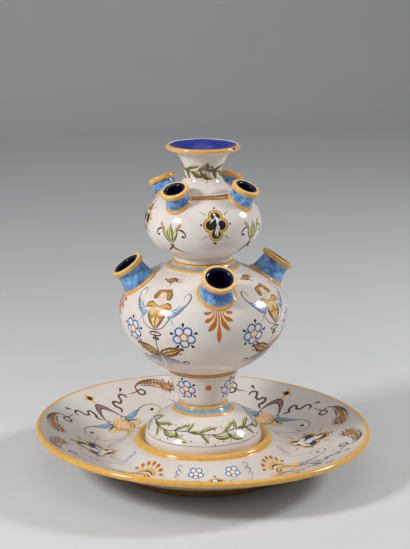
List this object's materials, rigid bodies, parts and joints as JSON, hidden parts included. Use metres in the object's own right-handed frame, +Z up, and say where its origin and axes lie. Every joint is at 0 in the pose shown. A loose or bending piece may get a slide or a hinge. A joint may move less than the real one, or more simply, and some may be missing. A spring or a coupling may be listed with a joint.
{
  "type": "tulip vase",
  "caption": "Double-globe tulip vase with a trumpet neck and tiers of short angled spouts, standing loose in the raised well of a wide footed dish.",
  "frame": {"origin": "on the table, under the middle of the dish's foot ring", "axes": "+Z up along the axis of the vase and the dish; a lower spout faces -Y, the front"},
  "size_m": [0.34, 0.34, 0.3348],
  "materials": {
    "white_glaze": "glossy warm white tin glaze with fine speckles",
    "blue_glaze": "glossy mottled cobalt blue brushed over white",
    "ochre_paint": "glossy ochre yellow pigment in the glaze",
    "green_paint": "glossy copper and antimony leaf greens in the glaze",
    "brown_paint": "glossy manganese brown line work in the glaze"
  },
  "bodies": {
    "dish": {"dish": "white_glaze"},
    "vase": {"foot": "white_glaze", "stem": "white_glaze", "lower_globe": "white_glaze", "lower_spout_front": "blue_glaze", "lower_spout_right": "blue_glaze", "lower_spout_back": "blue_glaze", "lower_spout_left": "blue_glaze", "upper_globe": "white_glaze", "upper_spout_front_right": "blue_glaze", "upper_spout_back_right": "blue_glaze", "upper_spout_back_left": "blue_glaze", "upper_spout_front_left": "blue_glaze", "neck": "white_glaze"}
  },
  "joints": [
    {"name": "vase_lift", "type": "slide", "parent": "dish", "child": "vase", "axis": [0, 0, 1], "range_m": [0, 0.1]}
  ]
}
